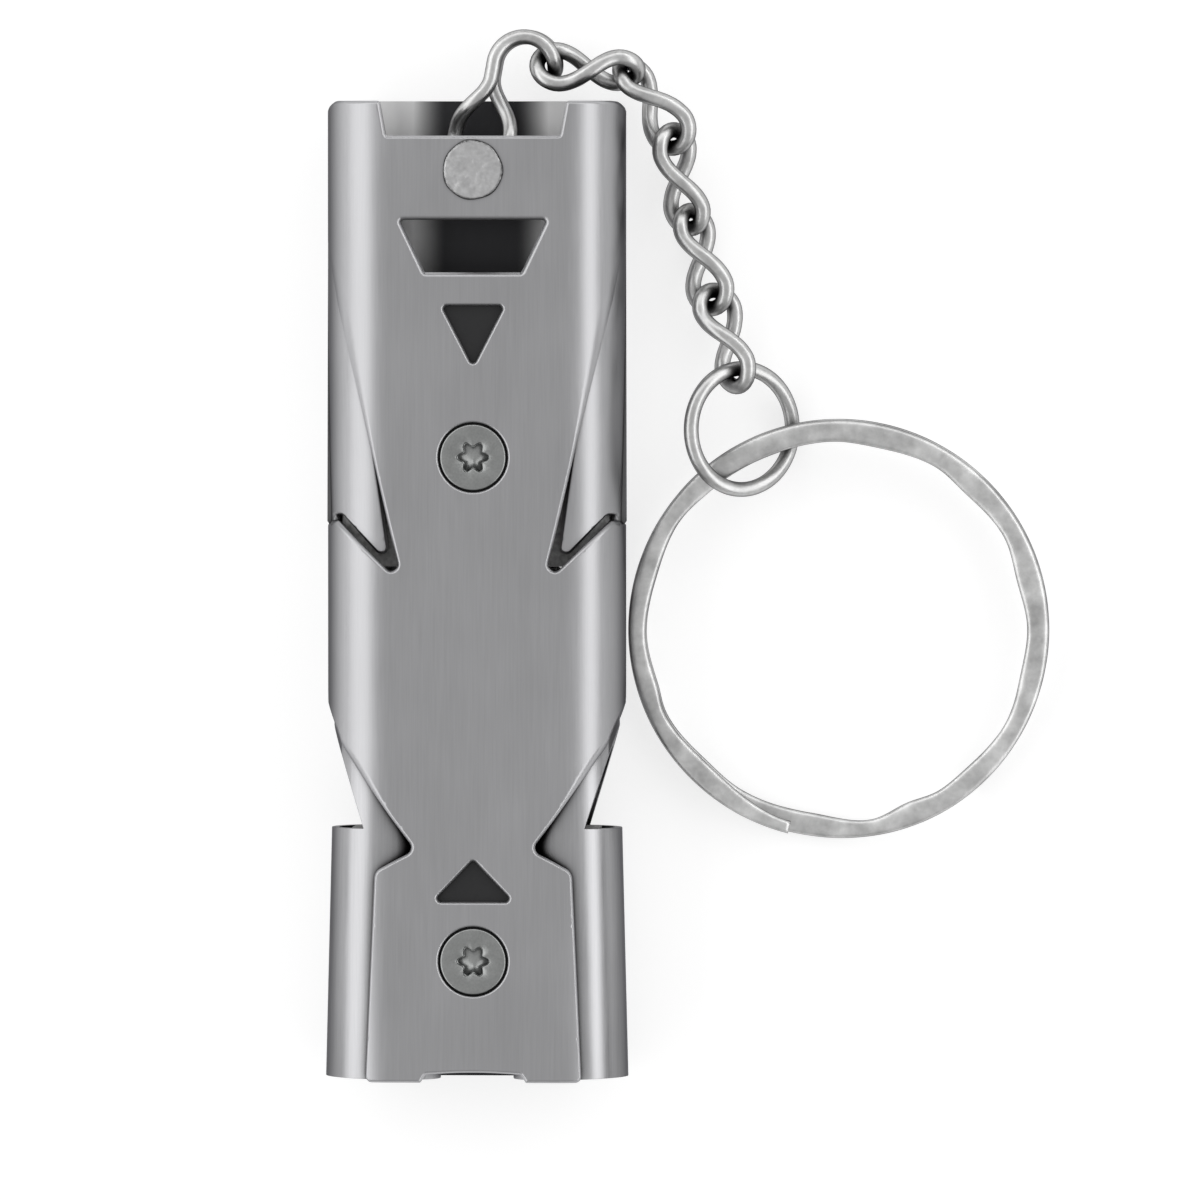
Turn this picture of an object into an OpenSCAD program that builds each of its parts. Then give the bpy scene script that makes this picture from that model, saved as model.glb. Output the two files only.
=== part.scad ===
// Double pipe survival whistle with a curb chain and a split key ring.
// Lies on its rear face: X across the whistle, Y towards the chain end, Z out of the front face.

/* [Sleeve] */
// whole length of the whistle
body_length = 59; // [50:0.5:70]
// whole width of the whistle
body_width = 18; // [16:0.25:22]
// whole thickness of the whistle
body_thick = 8.2; // [7.4:0.1:10]
// sheet thickness of both stamped halves
sheet_t = 0.35; // [0.25:0.05:0.4]
// radius of the top corners of the sleeve
corner_r = 0.7; // [0.2:0.1:1]

/* [Pressed V flaps] */
// distance of the V points from the middle line
vee_tip_x = 4.24; // [3.8:0.05:4.6]
// height of the V points
vee_tip_y = 0.5; // [0:0.1:1]
// height at which the lower V edge reaches the side
vee_edge_y = 4.25; // [3.8:0.05:4.8]
// distance of the crease's upper end below the top edge
vee_top_drop = 9.3; // [8.5:0.1:10]
// inward tilt of the flaps
flap_tilt = 2.2; // [1.6:0.1:2.6]
// width of the open slit under a flap
slit_w = 0.33; // [0.2:0.01:0.5]

/* [Windows] */
// depth of the cut-out at the top of the front half
top_cut_depth = 2.1; // [1:0.1:3]
// width of that cut-out at its floor
top_cut_w = 10.5; // [8:0.1:12]
// distance of the trapezoid's upper edge below the top edge
trapezoid_drop = 7.15; // [6.9:0.05:8]
// width of the trapezoid's upper edge
trapezoid_w = 8.8; // [6:0.1:10]
// width of the trapezoid's lower edge
trapezoid_low_w = 5.8; // [4:0.1:7]
// height of the trapezoid
trapezoid_h = 3.15; // [2:0.05:3.6]
// width of the upper triangle
upper_tri_w = 3.75; // [2.4:0.05:4]
// height of the upper triangle
upper_tri_h = 3.65; // [2.4:0.05:3.8]
// distance of the upper triangle's flat edge below the top edge
upper_tri_drop = 12.3; // [11.9:0.1:12.7]
// width of the lower triangle
lower_tri_w = 4.8; // [3:0.1:5]
// height of the lower triangle
lower_tri_h = 2.5; // [1.6:0.05:2.6]
// height of the lower triangle's flat edge
lower_tri_y = -18.6; // [-19:0.1:-18]

/* [Pipes] */
// free gap between a pipe and the flat panels
pipe_gap = 0.28; // [0.03:0.01:0.4]
// wall of the pipes
pipe_wall = 0.45; // [0.3:0.05:0.6]
// outward splay of each pipe
pipe_splay = 1.4; // [0:0.1:1.4]
// height of the sound window's floor
window_y = -14.25; // [-15:0.05:-13]
// inner end of the window's floor from the middle line
window_x = 6.65; // [6.4:0.05:7.2]
// thickness of the windway
windway = 0.9; // [0.6:0.05:1.2]
// length of the end stoppers
stopper_l = 2.5; // [1.5:0.1:4]

/* [Fasteners] */
// height of the upper screw
upper_screw_y = 8.1; // [7:0.1:9]
// height of the lower screw
lower_screw_y = -22.2; // [-23:0.1:-21.4]
// screw head diameter
screw_head_d = 4; // [3.6:0.1:4.4]
// screw shank diameter
screw_d = 2; // [1.6:0.1:2]
// post diameter
post_d = 2.8; // [2.6:0.05:2.84]
// distance of the chain rivet below the top edge
rivet_drop = 4.15; // [3.9:0.05:4.5]
// rivet shank diameter
rivet_d = 2.1; // [1.9:0.05:2.2]
// rivet head diameter
rivet_head_d = 3.6; // [3.2:0.1:4]

/* [Chain] */
// wire of the hook link
hook_wire = 0.9; // [0.8:0.05:0.95]
// radius of the hook link's bend
hook_bend = 1.8; // [1.7:0.05:1.95]
// wire of the five twisted links
link_wire = 0.95; // [0.85:0.05:0.95]
// outer length of a twisted link
link_length = 7.05; // [7:0.05:7.4]
// outer width of a twisted link
link_width = 3.55; // [3.5:0.05:3.6]
// free play where two wires hang in each other
wire_gap = 0.14; // [0.12:0.01:0.16]

/* [Rings] */
// wire of the jump ring
jump_wire = 0.9; // [0.8:0.05:0.95]
// outer diameter of the jump ring
jump_d = 8.2; // [8.1:0.05:8.3]
// tilt of the jump ring
jump_tilt = 36; // [34:1:38]
// outer diameter of the split ring
ring_d = 25.4; // [24.4:0.25:26.4]
// mean radial width of the split ring's wire
ring_wire_w = 1.3; // [1.1:0.05:1.4]
// height of the split ring's wire
ring_wire_h = 0.72; // [0.6:0.02:0.74]
// rise from one turn of the split ring to the other
ring_pitch = 1.16; // [1.14:0.01:1.2]

/* [Hidden] */
$fn = 96;
fit = 0.03;
corner_steps = 6;
mid = body_thick / 2;
side_x = body_width / 2 - mid;
edge_x = body_width / 2 + 0.05;
top_y = body_length / 2;
bottom_y = -body_length / 2;
inner_r = mid - sheet_t;
vee_top_y = top_y - vee_top_drop;
trapezoid_y = top_y - trapezoid_drop;
upper_tri_y = top_y - upper_tri_drop;
rivet_y = top_y - rivet_drop;
through = 2 * body_thick;

// the flaps are hinged just above the V
flap_pivot_y = vee_top_y + 2;
flap_lap = 0.35;
flap_tip_r = 0.45;
flap_tip_inset = 0.96;
flap_close_y = 9.5;
vee_tip_r = 0.4;
vee_step_x = 8.4;
slit_end_x = 8.5;

// lower notch and tongue of both halves
notch_x = 3.5;
notch_y = -15.5;
notch_r = 0.45;
tongue_top_x = 6;
tongue_top_y = -16.8;
tongue_low_x = 6.6;
tongue_r = 0.7;
tongue_corner_r = 0.4;
lip_slope = 0.317;
crease_y = -9.2;
function lip_x(y) = window_x + (y - window_y) * lip_slope;
function lip_y(x) = window_y + (x - window_x) / lip_slope;

// thumb notch at the mouth end of the front half
mouth_cut_w = 6.5;
mouth_cut_d = 0.5;
mouth_cut_flare = 0.6;
mouth_arch = 0.17;
mouth_arch_r = 30;
window_r = 0.15;
triangle_r = 0.2;

// a pipe lies along the side wall, clear of the panels and of the lower post
pipe_ref_y = -7.65;
side_gap = 0.04;
post_gap = 0.1;
pipe_out_x = body_width / 2 - sheet_t - side_gap;
pipe_in_x = post_d / 2 + post_gap - (pipe_ref_y - lower_screw_y) * tan(pipe_splay);
pipe_r = min(inner_r - pipe_gap, (pipe_out_x - pipe_in_x) / 2);
pipe_x = pipe_out_x - pipe_r;
pipe_top_y = 1;
pipe_low_y = bottom_y + 0.15;
bore_r = pipe_r - pipe_wall;
plug_low_y = pipe_low_y + 0.2;

core_half_x = 4.2;
core_low_y = pipe_top_y + 0.5;
core_top_y = trapezoid_y - trapezoid_h - 1;
web_gap = 0.25;
web_half_x = pipe_x - pipe_r - web_gap;
wing_half_x = side_x + 0.9;
wing_gap = 0.5;
wing_r = inner_r - (flap_pivot_y - core_low_y) * tan(flap_tilt) - wing_gap;
wing_top_y = flap_close_y + 0.4;
flange_half_x = 2.3;
flange_t = 0.8;
web_low_y = bottom_y + 0.9;
core_bore_r = post_d / 2 + 0.05;

head_rim = 0.1;
head_cone_z = body_thick - head_rim - (screw_head_d - screw_d) / 2;
screw_tip_z = 2.5;
recess_depth = 0.9;
recess_r = 0.74;
lobe_r = 0.24;
lobe_at = 0.79;
lobes = 6;
post_top_z = body_thick - 0.75;
post_bore_z = 2.2;
spigot_r = 1;
flush = 0.02;
rivet_dome = 0.22;

tube_sides = 8;
bow_steps = 10;
strand_steps = 9;
hook_strand_steps = 22;

// a list of [x, y, r] corners becomes an outline with rounded corners
function unit(v) = v / norm(v);
function corner(p, a, b) =
    p[2] == 0 ? [[p[0], p[1]]] :
    let (at = [p[0], p[1]])
    let (to_a = unit([a[0], a[1]] - at))
    let (to_b = unit([b[0], b[1]] - at))
    let (half = acos(to_a * to_b) / 2)
    let (centre = at + unit(to_a + to_b) * p[2] / sin(half))
    let (from = at + to_a * p[2] / tan(half) - centre)
    let (turn = cross(from, at + to_b * p[2] / tan(half) - centre) > 0 ? 1 : -1)
    [for (i = [0 : corner_steps])
        let (t = turn * (180 - 2 * half) * i / corner_steps)
        centre + [from[0] * cos(t) - from[1] * sin(t), from[0] * sin(t) + from[1] * cos(t)]];
function outline(c) =
    [for (i = [0 : len(c) - 1])
        each corner(c[i], c[(i + len(c) - 1) % len(c)], c[(i + 1) % len(c)])];
function flipped(c) = [for (i = [len(c) - 1 : -1 : 0]) [-c[i][0], c[i][1], c[i][2]]];
function both_sides(c) = concat(c, flipped(c));

// right-hand corners of the stamped outline, from the mouth end up
half_outline = [
    [tongue_low_x, bottom_y, tongue_corner_r],
    [tongue_top_x, tongue_top_y, tongue_r],
    [notch_x, notch_y, notch_r],
    [lip_x(crease_y), crease_y, 0],
    [edge_x, lip_y(edge_x), 0],
    [edge_x, vee_edge_y, 0],
    [vee_step_x, vee_edge_y, 0.2],
    [vee_tip_x, vee_tip_y, vee_tip_r],
    [edge_x, vee_top_y, 0],
    [edge_x, top_y, corner_r]
];

// a flap reaches under the panel along the crease, and stands clear of it round the V point
function vee_low_y(x) = vee_tip_y + (x - vee_tip_x) * (vee_edge_y - vee_tip_y) / (vee_step_x - vee_tip_x);
function vee_crease_x(y) = vee_tip_x + (y - vee_tip_y) * (edge_x - vee_tip_x) / (vee_top_y - vee_tip_y);
flap_tip_x = vee_tip_x + flap_tip_inset;
flap_outline = [
    [flap_tip_x, vee_low_y(flap_tip_x) + slit_w, flap_tip_r],
    [vee_step_x - flap_lap, vee_edge_y + slit_w, 0.2],
    [slit_end_x, vee_edge_y + slit_w, 0],
    [slit_end_x, vee_edge_y - flap_lap, 0],
    [edge_x, vee_edge_y - flap_lap, 0],
    [edge_x, vee_top_y + flap_lap / tan(13.5), 0],
    [vee_crease_x(flap_close_y) - flap_lap, flap_close_y, 0]
];

window_outline = [
    [window_x, window_y, 0],
    [edge_x + 1, window_y, 0],
    [edge_x + 1, lip_y(edge_x + 1), 0]
];

module plate(points, z0, z1) {
    translate([0, 0, z0])
        linear_extrude(z1 - z0)
            polygon(points);
}

module both_flaps() {
    children();
    mirror([1, 0, 0])
        children();
}

module along_y(y0, y1) {
    translate([0, y1, 0])
        rotate([90, 0, 0])
            linear_extrude(y1 - y0)
                children();
}

module stadium(half_x, r) {
    square([2 * half_x, 2 * r], center = true);
    translate([half_x, 0])
        circle(r);
    translate([-half_x, 0])
        circle(r);
}

// the front half of the sleeve before it is cut, mid-plane at z = 0
module half_sleeve(y0, y1) {
    along_y(y0, y1)
        intersection() {
            difference() {
                stadium(side_x, mid);
                stadium(side_x, inner_r);
            }
            translate([-body_width, 0])
                square([2 * body_width, body_width]);
        }
}

module pressed_flaps() {
    intersection() {
        translate([0, flap_pivot_y, body_thick])
            rotate([flap_tilt, 0, 0])
                translate([0, -flap_pivot_y, -mid])
                    half_sleeve(vee_tip_y - 4, vee_top_y + 4);
        both_flaps()
            plate(outline(flap_outline), mid, body_thick + 1);
    }
}

module half_shell() {
    intersection() {
        translate([0, 0, mid])
            half_sleeve(bottom_y - 1, top_y + 1);
        plate(outline(both_sides(half_outline)), mid, body_thick + 1);
    }
    pressed_flaps();
}

module pin_hole(y, r) {
    translate([0, y, -1])
        cylinder(r = r, h = through);
}

module screw_seat(y) {
    rim_z = body_thick - head_rim;
    seat_r = screw_head_d / 2 + 2 * fit;
    translate([0, y, head_cone_z])
        cylinder(r1 = screw_d / 2 + 2 * fit, r2 = seat_r, h = rim_z - head_cone_z);
    translate([0, y, rim_z])
        cylinder(r = seat_r, h = 1);
}

module front_windows() {
    top_half = top_cut_w / 2;
    top_floor = top_y - top_cut_depth;
    top_cut = [[top_half, top_floor, window_r], [top_half + 0.6, top_y + 1, 0]];
    plate(outline(both_sides(top_cut)), mid, through);
    low_y = trapezoid_y - trapezoid_h;
    trapezoid = [[trapezoid_low_w / 2, low_y, window_r], [trapezoid_w / 2, trapezoid_y, window_r]];
    plate(outline(both_sides(trapezoid)), mid, through);
    down = [
        [0, upper_tri_y - upper_tri_h, triangle_r],
        [upper_tri_w / 2, upper_tri_y, triangle_r],
        [-upper_tri_w / 2, upper_tri_y, triangle_r]
    ];
    plate(outline(down), mid, through);
    up = [
        [lower_tri_w / 2, lower_tri_y, triangle_r],
        [0, lower_tri_y + lower_tri_h, triangle_r],
        [-lower_tri_w / 2, lower_tri_y, triangle_r]
    ];
    plate(outline(up), mid, through);
    mouth_half = mouth_cut_w / 2;
    mouth_side = [
        [mouth_half + mouth_cut_flare, bottom_y - 1, 0],
        [mouth_half - 0.4, bottom_y + mouth_cut_d, window_r]
    ];
    mouth_top = [0, bottom_y + mouth_cut_d + mouth_arch, mouth_arch_r];
    plate(outline(concat(mouth_side, [mouth_top], flipped(mouth_side))), mid, through);
}

module front_shell() {
    color([0.62, 0.63, 0.65])
        difference() {
            half_shell();
            front_windows();
            screw_seat(upper_screw_y);
            screw_seat(lower_screw_y);
            pin_hole(rivet_y, rivet_d / 2 + fit);
        }
}

module rear_shell() {
    color([0.62, 0.63, 0.65])
        difference() {
            translate([0, 0, body_thick])
                mirror([0, 0, 1])
                    half_shell();
            pin_hole(upper_screw_y, spigot_r + fit);
            pin_hole(lower_screw_y, spigot_r + fit);
            pin_hole(rivet_y, rivet_d / 2 + fit);
        }
}

module core_bar(half_x, y0, y1, z0, z1) {
    translate([-half_x, y0, z0])
        cube([2 * half_x, y1 - y0, z1 - z0]);
}

module core_spacer() {
    low = sheet_t;
    high = body_thick - sheet_t;
    color([0.06, 0.06, 0.06])
        difference() {
            union() {
                core_bar(core_half_x, core_low_y, core_top_y, low, high);
                translate([0, 0, mid])
                    along_y(core_low_y, wing_top_y)
                        stadium(wing_half_x, wing_r);
                core_bar(web_half_x, web_low_y, core_low_y, low, high);
                core_bar(flange_half_x, web_low_y, core_low_y, low, low + flange_t);
                core_bar(flange_half_x, web_low_y, core_low_y, high - flange_t, high);
            }
            pin_hole(upper_screw_y, core_bore_r);
            pin_hole(lower_screw_y, core_bore_r);
            screw_seat(upper_screw_y);
            screw_seat(lower_screw_y);
        }
}

// children are drawn with the pipe's axis on Y through the origin
module right_pipe_place() {
    translate([pipe_x, pipe_ref_y, mid])
        rotate([0, 0, pipe_splay])
            translate([0, -pipe_ref_y, 0])
                children();
}

module left_pipe_place() {
    mirror([1, 0, 0])
        right_pipe_place()
            children();
}

module rod_y(r, y0, y1) {
    translate([0, y1, 0])
        rotate([90, 0, 0])
            cylinder(r = r, h = y1 - y0);
}

module pipe_tube() {
    difference() {
        rod_y(pipe_r, pipe_low_y, pipe_top_y);
        rod_y(bore_r, pipe_low_y - 1, pipe_top_y + 1);
    }
}

module right_pipe() {
    color([0.66, 0.67, 0.69])
        difference() {
            right_pipe_place()
                pipe_tube();
            plate(outline(window_outline), -1, through);
        }
}

module left_pipe() {
    mirror([1, 0, 0])
        right_pipe();
}

module fipple_plug() {
    flat_x = bore_r - windway;
    color([0.07, 0.07, 0.07])
        intersection() {
            rod_y(bore_r - fit, plug_low_y, window_y - fit);
            translate([flat_x - 2 * bore_r, plug_low_y - 1, -bore_r])
                cube([2 * bore_r, window_y - plug_low_y + 2, 2 * bore_r]);
        }
}

module right_fipple_plug() {
    right_pipe_place()
        fipple_plug();
}

module left_fipple_plug() {
    left_pipe_place()
        fipple_plug();
}

module end_stopper() {
    color([0.07, 0.07, 0.07])
        rod_y(bore_r - fit, pipe_top_y - stopper_l, pipe_top_y - 0.2);
}

module right_end_stopper() {
    right_pipe_place()
        end_stopper();
}

module left_end_stopper() {
    left_pipe_place()
        end_stopper();
}

module threaded_post(y) {
    color([0.55, 0.56, 0.58])
        difference() {
            union() {
                translate([0, y, sheet_t])
                    cylinder(d = post_d, h = post_top_z - sheet_t);
                translate([0, y, flush])
                    cylinder(r = spigot_r, h = sheet_t);
            }
            translate([0, y, post_bore_z])
                cylinder(d = screw_d, h = body_thick);
            screw_seat(y);
        }
}

module upper_post() {
    threaded_post(upper_screw_y);
}

module lower_post() {
    threaded_post(lower_screw_y);
}

module lobed_recess(y) {
    translate([0, y, body_thick - recess_depth]) {
        cylinder(r = recess_r, h = 2);
        for (k = [0 : lobes - 1])
            rotate([0, 0, k * 360 / lobes + 30])
                translate([lobe_at, 0, 0])
                    cylinder(r = lobe_r, h = 2);
    }
}

module screw(y) {
    cone_h = body_thick - head_rim - head_cone_z;
    color([0.5, 0.51, 0.53])
        difference() {
            union() {
                translate([0, y, screw_tip_z])
                    cylinder(d = screw_d - 2 * fit, h = head_cone_z - screw_tip_z + 0.2);
                translate([0, y, head_cone_z])
                    cylinder(d1 = screw_d - 2 * fit, d2 = screw_head_d - 2 * fit, h = cone_h);
                translate([0, y, body_thick - head_rim])
                    cylinder(d = screw_head_d - 2 * fit, h = head_rim);
            }
            lobed_recess(y);
        }
}

module upper_screw() {
    screw(upper_screw_y);
}

module lower_screw() {
    screw(lower_screw_y);
}

module chain_rivet() {
    head_r = rivet_head_d / 2;
    color([0.78, 0.78, 0.79])
        translate([0, rivet_y, 0]) {
            translate([0, 0, flush])
                cylinder(d = rivet_d, h = body_thick - flush);
            translate([0, 0, body_thick])
                rotate_extrude()
                    polygon([
                        [0, 0],
                        [head_r, 0],
                        [head_r, 0.4 * rivet_dome],
                        [0.93 * head_r, 0.75 * rivet_dome],
                        [0.7 * head_r, rivet_dome],
                        [0, rivet_dome]
                    ]);
        }
}

// wire loops: [along, across, outward along, outward across] round a loop with two bows
function smooth_step(t) = let (c = min(1, max(0, t))) c * c * (3 - 2 * c);
function loop_path(l, w0, w1, from, to, steps) = concat(
    [for (i = [0 : bow_steps - 1])
        let (a = -90 + 180 * i / bow_steps)
        [w0 * (1 - cos(a)), w0 * sin(a), -cos(a), sin(a)]],
    [for (i = [0 : steps - 1])
        let (q = w0 + (l - w0 - w1) * i / steps)
        [q, w0 + (w1 - w0) * smooth_step((q - from) / (to - from)), 0, 1]],
    [for (i = [0 : bow_steps - 1])
        let (a = 90 - 180 * i / bow_steps)
        [l - w1 * (1 - cos(a)), w1 * sin(a), cos(a), sin(a)]],
    [for (i = [0 : steps - 1])
        let (q = l - w1 - (l - w0 - w1) * i / steps)
        [q, -w0 - (w1 - w0) * smooth_step((q - from) / (to - from)), 0, -1]]
);

// rings of points round a closed path of [point, outward direction]
function tube_points(path, r) =
    let (n = len(path))
    [for (i = [0 : n - 1])
        let (run = unit(path[(i + 1) % n][0] - path[(i + n - 1) % n][0]))
        let (out = unit(path[i][1] - run * (path[i][1] * run)))
        let (over = cross(run, out))
        for (k = [0 : tube_sides - 1])
            let (a = 360 * (k + 0.5) / tube_sides)
            path[i][0] + r * (cos(a) * out + sin(a) * over)];
function ring_faces(first, last, count) =
    [for (i = [first : last])
        for (k = [0 : tube_sides - 1])
            let (next = (i + 1) % count)
            let (side = (k + 1) % tube_sides)
            each [
                [i * tube_sides + k, next * tube_sides + k, next * tube_sides + side],
                [i * tube_sides + k, next * tube_sides + side, i * tube_sides + side]
            ]];

module wire_loop(path, wire) {
    polyhedron(
        points = tube_points(path, wire / 2),
        faces = ring_faces(0, len(path) - 1, len(path)),
        convexity = 6
    );
}

// hook link: a straight shank from the rivet, then a bend to the right
hook_lean = 80.6;
hook_shank = 8.25;
hook_end_heading = -98.5;
hook_low_w = rivet_d / 2 + hook_wire / 2 + 0.15;
hook_high_w = 1.15;
hook_turn_from = 3.5;
hook_turn_to = 7.3;
hook_sink = 1.3;
hook_contact = 39.4;
hook_turned = hook_lean - hook_end_heading;
hook_length = hook_shank + hook_bend * hook_turned * PI / 180;
function hook_heading(q) = hook_lean - max(0, q - hook_shank) / hook_bend * 180 / PI;
function right_of(h) = [sin(h), -cos(h), 0];
hook_straight = [cos(hook_lean), sin(hook_lean), 0];
hook_start = [0, rivet_y, 0] - hook_low_w * hook_straight;
hook_bend_start = hook_start + hook_shank * hook_straight;
hook_bend_centre = hook_bend_start + hook_bend * right_of(hook_lean);
function hook_z(q) = mid - hook_sink * smooth_step((q - 5) / 9);
function hook_spine(q) =
    (q < hook_shank
        ? hook_start + q * hook_straight
        : hook_bend_centre - hook_bend * right_of(hook_heading(q)))
    + [0, 0, hook_z(q)];
function hook_across(q) =
    let (a = 180 - 90 * smooth_step((q - hook_turn_from) / (hook_turn_to - hook_turn_from)))
    cos(a) * right_of(hook_heading(q)) + [0, 0, sin(a)];
function hook_along(q) = [cos(hook_heading(q)), sin(hook_heading(q)), 0];
hook_contact_q = hook_length - hook_high_w * (1 - cos(hook_contact));
hook_pivot = hook_spine(hook_contact_q) + hook_high_w * sin(hook_contact) * hook_across(hook_contact_q);
hook_widen_to = hook_turn_to + 0.4;
hook_path = [
    for (p = loop_path(hook_length, hook_low_w, hook_high_w, hook_turn_from, hook_widen_to, hook_strand_steps))
        [hook_spine(p[0]) + p[1] * hook_across(p[0]), p[2] * hook_along(p[0]) + p[3] * hook_across(p[0])]
];

module hook_link() {
    color([0.7, 0.7, 0.71])
        wire_loop(hook_path, hook_wire);
}

// twisted links: heading in the table plane, slope, and roll about the link's own length
// the sixth heading and slope are those of the jump ring
link_heading = [-3.1, -54, -78.5, -74.9, -72.2, -83.4];
link_slope = [-8.5, 5, -7.9, 4.2, 10.2, -4.4];
link_roll = [7.1, -16.8, -4.2, -9.8, 3];
link_twist = 90;
twist_from = 0.18;
link_l = link_length - link_wire;
link_w = (link_width - link_wire) / 2;
links = len(link_roll);
function aim(k) = [
    cos(link_heading[k]) * cos(link_slope[k]),
    sin(link_heading[k]) * cos(link_slope[k]),
    sin(link_slope[k])
];
function lateral(k) = [-sin(link_heading[k]), cos(link_heading[k]), 0];
function upward(k) = cross(aim(k), lateral(k));
function link_angle(k, t) =
    135 + link_roll[k] - link_twist * smooth_step((t - twist_from) / (1 - 2 * twist_from));
function link_across(k, t) = cos(link_angle(k, t)) * lateral(k) + sin(link_angle(k, t)) * upward(k);

// each piece hangs on the wire before it where that wire runs square to its own length
function in_bow(v, k) = (v * aim(k)) * aim(k) + (v * link_across(k, 1)) * link_across(k, 1);
function bow_centre(k) = link_start(k) + (link_l - link_w) * aim(k);
function pivot(k) = k == 0 ? hook_pivot : bow_centre(k - 1) + link_w * unit(in_bow(aim(k), k - 1));
function held_wire(k) = k == 0 ? hook_wire : link_wire;
function own_wire(k) = k == links ? jump_wire : link_wire;
function link_start(k) = pivot(k) - aim(k) * ((own_wire(k) + held_wire(k)) / 2 + wire_gap);
function link_path(k) = [
    for (p = loop_path(link_l, link_w, link_w, 0, 1, strand_steps))
        let (n = link_across(k, p[0] / link_l))
        [link_start(k) + p[0] * aim(k) + p[1] * n, p[2] * aim(k) + p[3] * n]
];

module twisted_link(k) {
    color([0.7, 0.7, 0.71])
        wire_loop(link_path(k), link_wire);
}

module chain_link_1() {
    twisted_link(0);
}

module chain_link_2() {
    twisted_link(1);
}

module chain_link_3() {
    twisted_link(2);
}

module chain_link_4() {
    twisted_link(3);
}

module chain_link_5() {
    twisted_link(4);
}

// jump ring, hung in the last link
jump_r = (jump_d - jump_wire) / 2;
jump_centre = link_start(links) + jump_r * aim(links);

module jump_ring() {
    color([0.7, 0.7, 0.71])
        translate(jump_centre)
            rotate([0, jump_tilt, 0])
                rotate_extrude()
                    translate([jump_r, 0])
                        circle(d = jump_wire, $fn = 32);
}

// split ring: two flat turns joined by one step, both ends tapered, the inner edge wavy
ring_from = 20;
ring_to = 686;
ring_step_from = 330;
ring_step_to = 378;
ring_angle_step = 6;
ring_spin = -70;
ring_side_gap = 0.02;
ring_hang = 0.735;
ring_rise = 1.08;
ring_x = body_width / 2 + ring_side_gap + ring_d / 2;
ring_y = jump_centre[1] - sqrt(pow(ring_d / 2 + ring_hang, 2) - pow(ring_x - jump_centre[0], 2));
ring_tilt = asin(ring_rise / (ring_d / 2 + jump_centre[1] - jump_r - ring_y));
ring_waves = 11;
ring_wave = 0.12;
ring_first_wave = 85;
ring_taper = 24;
ring_taper_w = 0.55;
ring_bevel = 0.6;
ring_count = floor((ring_to - ring_from) / ring_angle_step) + 1;
ring_lift = ring_d / 2 * sin(ring_tilt) + (ring_pitch + ring_wire_h) / 2 + flush;
function ring_level(a) =
    ring_pitch * (smooth_step((a - ring_step_from) / (ring_step_to - ring_step_from)) - 0.5);
function ring_end(a) = smooth_step(min(a - ring_from, ring_to - a) / ring_taper);
function ring_wave_at(a) = ring_wave * cos(ring_waves * (a - ring_first_wave));
function ring_width(a) =
    (ring_wire_w + ring_wave_at(a)) * (ring_taper_w + (1 - ring_taper_w) * ring_end(a));
function ring_section(w, h) = [
    for (s = [[1, ring_bevel], [ring_bevel, 1], [-ring_bevel, 1], [-1, ring_bevel],
              [-1, -ring_bevel], [-ring_bevel, -1], [ring_bevel, -1], [1, -ring_bevel]])
        [s[0] * w / 2, s[1] * h / 2]
];
function ring_points(a) =
    let (r = ring_d / 2 - ring_width(a) / 2)
    [for (s = ring_section(ring_width(a), ring_wire_h))
        [(r + s[0]) * cos(a), (r + s[0]) * sin(a), ring_level(a) + s[1]]];
ring_angles = [for (i = [0 : ring_count - 1]) ring_from + i * ring_angle_step];
ring_rings = [for (a = ring_angles) ring_points(a)];
turn = 360 / ring_angle_step;
ring_self_gap = min([
    for (i = [0 : ring_count - 1 - turn])
        for (p = ring_rings[i])
            for (q = ring_rings[i + turn])
                norm(p - q)
]);
echo(least_gap_between_ring_turns = ring_self_gap);

module split_ring() {
    low_cap = [for (k = [tube_sides - 1 : -1 : 0]) k];
    high_cap = [for (k = [0 : tube_sides - 1]) (ring_count - 1) * tube_sides + k];
    sides = [for (f = ring_faces(0, ring_count - 2, ring_count)) [f[0], f[2], f[1]]];
    color([0.72, 0.72, 0.73])
        translate([ring_x, ring_y, ring_lift])
            rotate([ring_tilt, 0, 0])
                rotate([0, 0, ring_spin])
                    polyhedron(
                        points = [for (ring = ring_rings) each ring],
                        faces = concat(sides, [high_cap, low_cap]),
                        convexity = 6
                    );
}

front_shell();
rear_shell();
core_spacer();
left_pipe();
right_pipe();
left_fipple_plug();
right_fipple_plug();
left_end_stopper();
right_end_stopper();
upper_post();
lower_post();
upper_screw();
lower_screw();
chain_rivet();
hook_link();
chain_link_1();
chain_link_2();
chain_link_3();
chain_link_4();
chain_link_5();
jump_ring();
split_ring();
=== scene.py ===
"""Looks of the survival whistle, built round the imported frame. Sizes are in millimetres, front towards +Z."""
import math

import bpy
import numpy as np
from mathutils import Matrix, Vector, noise
from mathutils.geometry import delaunay_2d_cdt


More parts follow.
